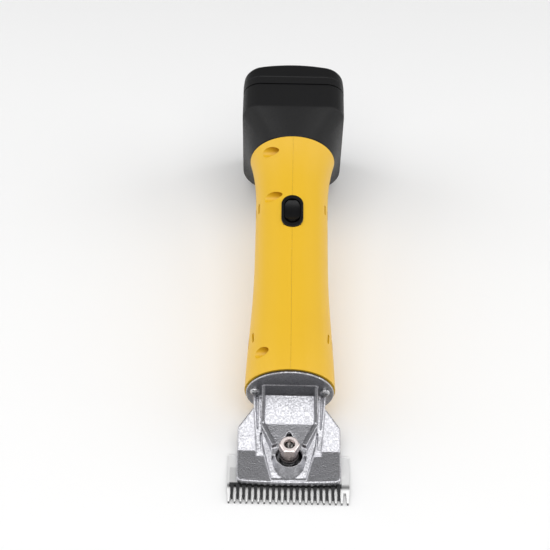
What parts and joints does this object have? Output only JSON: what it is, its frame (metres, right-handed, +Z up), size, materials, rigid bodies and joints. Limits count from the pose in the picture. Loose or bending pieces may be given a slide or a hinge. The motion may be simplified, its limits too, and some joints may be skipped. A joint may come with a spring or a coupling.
{
  "type": "animal clipper",
  "caption": "Cordless livestock clipper: straight comb and sliding cutter under a cast head, geared motor in a round handle, rocker switch, slide-on battery.",
  "frame": {"origin": "middle of the object's footprint on the surface it rests on", "axes": "+Z up, +Y from the comb tips towards the battery, +X to the right as the operator holds it"},
  "size_m": [0.0794, 0.3354, 0.1083],
  "materials": {
    "cast_alloy": "sand-cast, satin",
    "blade_steel": "ground",
    "bright_steel": "polished",
    "screw_steel": "zinc plated",
    "yellow_plastic": "fine moulded texture",
    "black_plastic": "fine moulded texture",
    "switch_plastic": "smooth",
    "gasket_rubber": "matte",
    "gear_steel": "oiled",
    "machined_alloy": "machined",
    "bronze": "sintered",
    "motor_steel": "plated",
    "magnet": "sintered",
    "copper": "enamelled wire",
    "carbon": "sintered carbon",
    "fan_plastic": "moulded",
    "board": "solder mask",
    "component": "moulded",
    "wire_insulation": "smooth",
    "terminal_brass": "tinned",
    "cell_wrap": "shrink sleeve"
  },
  "bodies": {
    "housing": {"head_casting": "cast_alloy", "head_gasket": "gasket_rubber", "head_screws": "screw_steel", "comb_blade": "blade_steel", "comb_screws": "screw_steel", "lever_pivot_pin": "gear_steel", "tension_stud": "bright_steel", "tension_spring": "gear_steel", "handle_shell_left": "yellow_plastic", "handle_shell_right": "yellow_plastic", "handle_screws": "screw_steel", "gearbox_plate": "machined_alloy", "gearbox_posts": "machined_alloy", "motor_plate": "machined_alloy", "front_bearing_outer": "gear_steel", "crank_bush": "bronze", "motor_can": "motor_steel", "motor_magnets": "magnet", "motor_end_cap": "black_plastic", "motor_bushes": "bronze", "motor_screws": "screw_steel", "brushes": "carbon", "switch_frame": "switch_plastic", "battery_foot": "black_plastic", "terminal_block": "black_plastic", "terminal_blades": "terminal_brass", "control_board": "board", "board_parts": "component", "internal_wires": "wire_insulation"},
    "fork": {"drive_fork": "gear_steel"},
    "cutter": {"cutter_blade": "blade_steel", "drive_plate": "gear_steel"},
    "rotor": {"rotor_shaft": "gear_steel", "rotor_core": "motor_steel", "rotor_windings": "copper", "commutator": "copper", "cooling_fan": "fan_plastic", "motor_pinion": "gear_steel"},
    "crank": {"crank_shaft": "gear_steel", "crank_gear": "gear_steel", "front_bearing_inner": "gear_steel"},
    "ball_set": {"bearing_balls": "bright_steel"},
    "roller": {"crank_roller": "gear_steel"},
    "tension_cap": {"spring_cap": "gear_steel"},
    "nut": {"tension_nut": "bright_steel"},
    "rocker": {"rocker_button": "switch_plastic"},
    "battery": {"battery_case_front": "black_plastic", "battery_case_rear": "black_plastic", "battery_cells": "cell_wrap", "battery_board": "board", "battery_terminals": "terminal_brass", "battery_screws": "screw_steel", "latch_spring": "gear_steel"},
    "latch": {"latch_button": "black_plastic"}
  },
  "joints": [
    {"name": "fork_swing", "type": "hinge", "parent": "housing", "child": "fork", "pos_m": [0, -0.1207, 0.0133], "axis": [0, 0, 1], "range_deg": [0, 7.77]},
    {"name": "cutter_slide", "type": "slide", "parent": "housing", "child": "cutter", "axis": [1, 0, 0], "range_m": [0, 0.00386]},
    {"name": "rotor_spin", "type": "hinge", "parent": "housing", "child": "rotor", "pos_m": [0, -0.04162, 0.04643], "axis": [0, 0.9848, 0.1736], "continuous": true},
    {"name": "crank_turn", "type": "hinge", "parent": "housing", "child": "crank", "pos_m": [0, -0.09287, 0.02033], "axis": [0, 0.9848, 0.1736], "continuous": true},
    {"name": "ball_orbit", "type": "hinge", "parent": "housing", "child": "ball_set", "pos_m": [0, -0.09287, 0.02033], "axis": [0, 0.9848, 0.1736], "continuous": true},
    {"name": "roller_turn", "type": "hinge", "parent": "crank", "child": "roller", "pos_m": [0.00095, -0.10665, 0.0179], "axis": [0, 0.9848, 0.1736], "continuous": true},
    {"name": "cap_slide", "type": "slide", "parent": "housing", "child": "tension_cap", "axis": [0, 0, 1], "range_m": [0, 0.00201], "deforming": ["tension_spring"]},
    {"name": "nut_turn", "type": "hinge", "parent": "tension_cap", "child": "nut", "pos_m": [0, -0.1435, 0.027], "axis": [0, 0, 1], "range_deg": [0, 720]},
    {"name": "rocker_tilt", "type": "hinge", "parent": "housing", "child": "rocker", "pos_m": [0, 0.02401, 0.07445], "axis": [1, 0, 0], "range_deg": [0, 14]},
    {"name": "battery_slide", "type": "slide", "parent": "housing", "child": "battery", "axis": [0, 0.1736, -0.9848], "range_m": [0, 0.08]},
    {"name": "latch_press", "type": "slide", "parent": "battery", "child": "latch", "axis": [0, 0.9848, 0.1736], "range_m": [0, 0.004], "stiffness_N_per_m": 400, "springref_m": -0.002, "deforming": ["latch_spring"]}
  ],
  "couplings": [
    {"joint": "cutter_slide", "follows": "fork_swing", "m_per_rad": 0.028379},
    {"joint": "crank_turn", "follows": "rotor_spin", "ratio": -0.4},
    {"joint": "ball_orbit", "follows": "rotor_spin", "ratio": -0.1489},
    {"joint": "cap_slide", "follows": "nut_turn", "m_per_rad": 0.00015915}
  ]
}
